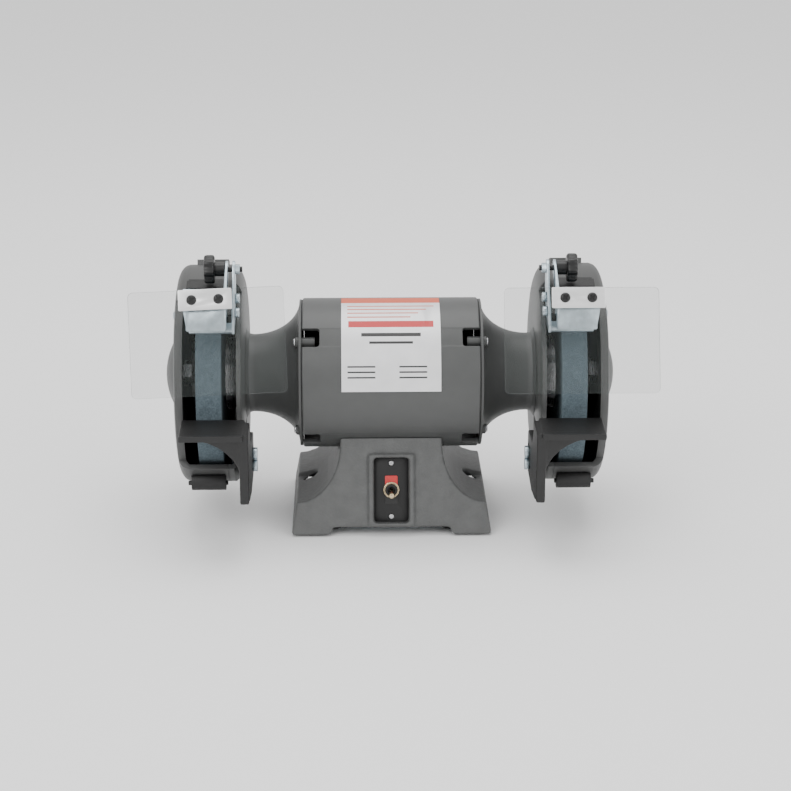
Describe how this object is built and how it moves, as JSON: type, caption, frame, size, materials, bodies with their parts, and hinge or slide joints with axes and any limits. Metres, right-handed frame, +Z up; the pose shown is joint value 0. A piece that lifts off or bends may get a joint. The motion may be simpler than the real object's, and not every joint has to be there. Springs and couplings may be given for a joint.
{
  "type": "bench grinder",
  "caption": "Bench grinder with an abrasive wheel at each end of its motor, wheel guards, sliding tool rests, tilting eye shields and a toggle switch.",
  "frame": {"origin": "on the bench, under the middle of the whole machine's outline", "axes": "+X to the right along the motor's shaft, +Y to the back, +Z up"},
  "size_m": [0.5199, 0.267, 0.2879],
  "materials": {
    "base_paint": "rough grey paint on cast iron",
    "motor_paint": "satin grey paint",
    "bell_paint": "satin dark grey paint",
    "cover_paint": "satin charcoal paint",
    "black_cast": "black paint on cast iron",
    "black_plastic": "moulded black plastic",
    "foot_rubber": "matte black rubber",
    "abrasive_grit": "blue-grey vitrified abrasive, open grain",
    "zinc_plate": "clear zinc plating with a bluish cast",
    "satin_aluminium": "satin aluminium",
    "bright_steel": "ground steel",
    "brass_nickel": "worn nickel on brass",
    "copper_wire": "enamelled copper wire",
    "clear_shield": "clear polycarbonate sheet",
    "label_foil": "printed foil plate",
    "legend_plate": "red and black legend plate"
  },
  "bodies": {
    "root": {"base_bottom_plate": "zinc_plate", "base_casting": "base_paint", "bearing_outer_race_left": "bright_steel", "bearing_outer_race_right": "bright_steel", "cable_gland": "black_plastic", "capacitor": "bright_steel", "deflector_bolts_left": "zinc_plate", "deflector_bolts_right": "zinc_plate", "dust_chute_left": "black_cast", "dust_chute_right": "black_cast", "end_bell_left": "bell_paint", "end_bell_right": "bell_paint", "guard_trim_left": "black_cast", "guard_trim_right": "black_cast", "inner_guard_left": "bell_paint", "inner_guard_right": "bell_paint", "motor_barrel": "motor_paint", "nameplate": "label_foil", "outer_cover_left": "cover_paint", "outer_cover_right": "cover_paint", "rubber_foot_back_left": "foot_rubber", "rubber_foot_back_right": "foot_rubber", "rubber_foot_front_left": "foot_rubber", "rubber_foot_front_right": "foot_rubber", "stator_core": "bright_steel", "stator_winding_left": "copper_wire", "stator_winding_right": "copper_wire", "switch_body": "black_plastic", "switch_indicator": "legend_plate", "switch_nut": "brass_nickel", "switch_plate": "black_plastic", "tool_rest_bolts_left": "zinc_plate", "tool_rest_bolts_right": "zinc_plate"},
    "rotor": {"arbor_nut_left": "bright_steel", "arbor_nut_right": "bright_steel", "bearing_inner_race_left": "bright_steel", "bearing_inner_race_right": "bright_steel", "cooling_fan": "black_plastic", "grinding_wheel_left": "abrasive_grit", "grinding_wheel_right": "abrasive_grit", "inner_flange_left": "bright_steel", "inner_flange_right": "bright_steel", "outer_flange_left": "bright_steel", "outer_flange_right": "bright_steel", "rotor_core": "bright_steel", "shaft": "bright_steel"},
    "toggle_lever": {"switch_lever": "brass_nickel"},
    "rest_left": {"tool_rest_left": "black_cast"},
    "deflector_left": {"spark_deflector_left": "zinc_plate"},
    "shield_left": {"shield_bracket_left": "zinc_plate", "eye_shield_left": "clear_shield", "clamp_strip_left": "satin_aluminium"},
    "knob_left": {"clamp_knob_left": "black_plastic"},
    "rest_right": {"tool_rest_right": "black_cast"},
    "deflector_right": {"spark_deflector_right": "zinc_plate"},
    "shield_right": {"shield_bracket_right": "zinc_plate", "eye_shield_right": "clear_shield", "clamp_strip_right": "satin_aluminium"},
    "knob_right": {"clamp_knob_right": "black_plastic"}
  },
  "joints": [
    {"name": "rotor_spin", "type": "hinge", "parent": "root", "child": "rotor", "pos_m": [0, 0.0212, 0.149], "axis": [1, 0, 0], "continuous": true},
    {"name": "toggle_flip", "type": "hinge", "parent": "root", "child": "toggle_lever", "pos_m": [0, -0.04838, 0.04458], "axis": [-1, 0, 0], "range_deg": [0, 28]},
    {"name": "rest_slide_left", "type": "slide", "parent": "root", "child": "rest_left", "axis": [0, -1, 0], "range_m": [-0.0025, 0.014]},
    {"name": "deflector_slide_left", "type": "slide", "parent": "root", "child": "deflector_left", "axis": [0, 0.5881, -0.8088], "range_m": [-0.006, 0.003]},
    {"name": "shield_tilt_left", "type": "hinge", "parent": "deflector_left", "child": "shield_left", "pos_m": [-0.1634, -0.0278, 0.2732], "axis": [-1, 0, 0], "range_deg": [0, 70]},
    {"name": "knob_turn_left", "type": "hinge", "parent": "shield_left", "child": "knob_left", "pos_m": [-0.181, -0.0278, 0.2732], "axis": [1, 0, 0], "continuous": true},
    {"name": "rest_slide_right", "type": "slide", "parent": "root", "child": "rest_right", "axis": [0, -1, 0], "range_m": [-0.0025, 0.014]},
    {"name": "deflector_slide_right", "type": "slide", "parent": "root", "child": "deflector_right", "axis": [0, 0.5881, -0.8088], "range_m": [-0.006, 0.003]},
    {"name": "shield_tilt_right", "type": "hinge", "parent": "deflector_right", "child": "shield_right", "pos_m": [0.1634, -0.0278, 0.2732], "axis": [-1, 0, 0], "range_deg": [0, 70]},
    {"name": "knob_turn_right", "type": "hinge", "parent": "shield_right", "child": "knob_right", "pos_m": [0.181, -0.0278, 0.2732], "axis": [1, 0, 0], "continuous": true}
  ]
}
